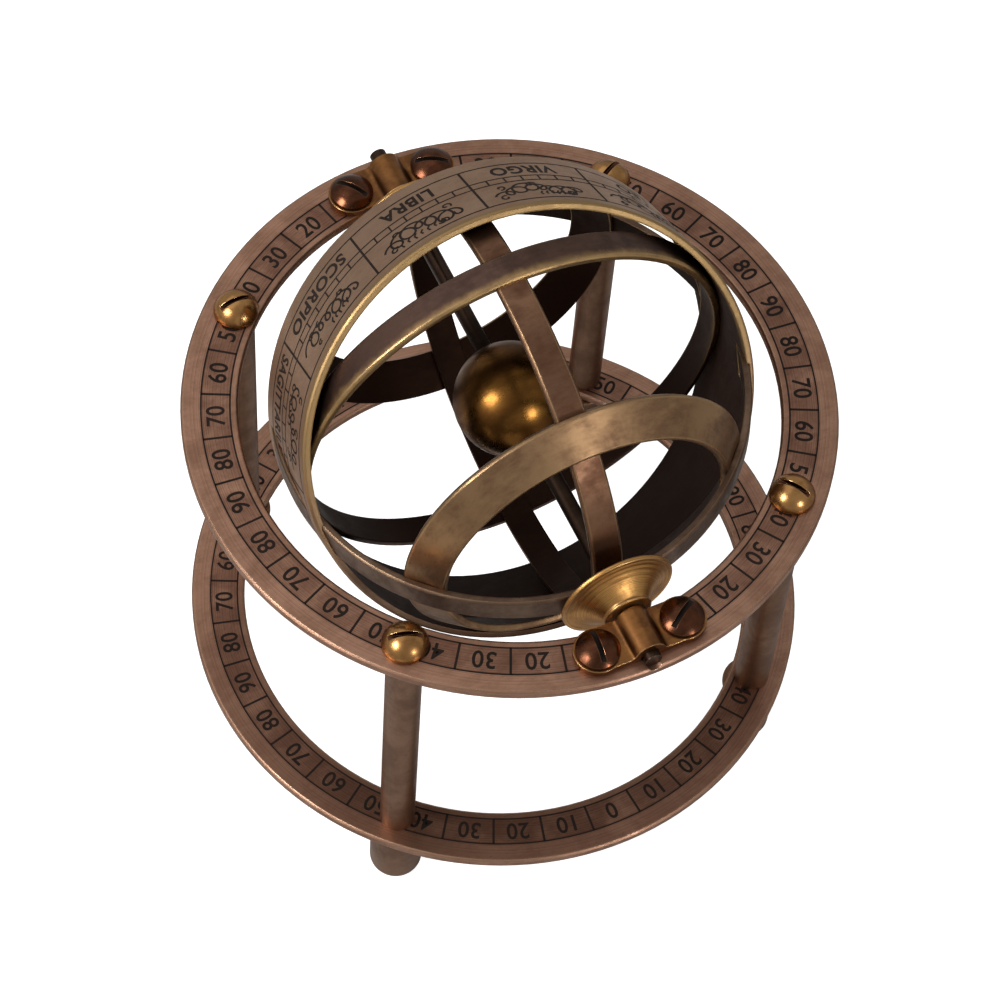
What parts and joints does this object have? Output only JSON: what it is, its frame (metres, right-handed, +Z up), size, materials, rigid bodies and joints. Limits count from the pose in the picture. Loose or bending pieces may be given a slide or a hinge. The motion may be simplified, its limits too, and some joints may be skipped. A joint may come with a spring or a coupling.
{
  "type": "armillary sphere",
  "caption": "Desk armillary sphere: nested brass hoops turning on a polar axle held in saddles on a two-ring pillar stand with engraved degree scales.",
  "frame": {"origin": "on the table plane under the feet, at the centre of the two scale rings", "axes": "+Z up, +Y along the polar axle to its rear end, +X to the right seen from the front"},
  "size_m": [0.114, 0.114, 0.1245],
  "materials": {
    "scale_brass": "antique patina with etched scale",
    "pillar_brass": "antique patina, satin",
    "golden_brass": "worn bright",
    "coppery_brass": "dark reddish patina, polished",
    "saddle_brass": "warm satin",
    "zodiac_brass": "light patina, etched",
    "spun_brass": "brushed",
    "ball_bronze": "polished dark bronze",
    "axle_brass": "dark satin",
    "ring_brass": "antique patina, worn edges"
  },
  "bodies": {
    "stand": {"base_ring": "scale_brass", "top_ring": "scale_brass", "pillar_front_right": "pillar_brass", "pillar_rear_right": "pillar_brass", "pillar_rear_left": "pillar_brass", "pillar_front_left": "pillar_brass", "foot_front_right": "pillar_brass", "foot_rear_right": "pillar_brass", "foot_rear_left": "pillar_brass", "foot_front_left": "pillar_brass", "cap_screw_front_right": "golden_brass", "cap_screw_rear_right": "golden_brass", "cap_screw_rear_left": "golden_brass", "cap_screw_front_left": "golden_brass", "saddle_front": "saddle_brass", "saddle_rear": "saddle_brass", "saddle_screw_front_right": "coppery_brass", "saddle_screw_rear_right": "coppery_brass", "saddle_screw_rear_left": "coppery_brass", "saddle_screw_front_left": "coppery_brass"},
    "sphere": {"polar_axle": "axle_brass", "earth_ball": "ball_bronze", "cup_front": "spun_brass", "cup_rear": "spun_brass", "colure_upright": "ring_brass", "colure_level": "ring_brass", "equator_ring": "ring_brass", "zodiac_band": "zodiac_brass", "front_circle": "ring_brass", "rear_circle": "ring_brass"}
  },
  "joints": [
    {"name": "sphere_spin", "type": "hinge", "parent": "stand", "child": "sphere", "pos_m": [0, 0, 0.0837], "axis": [0, 1, 0], "continuous": true}
  ]
}
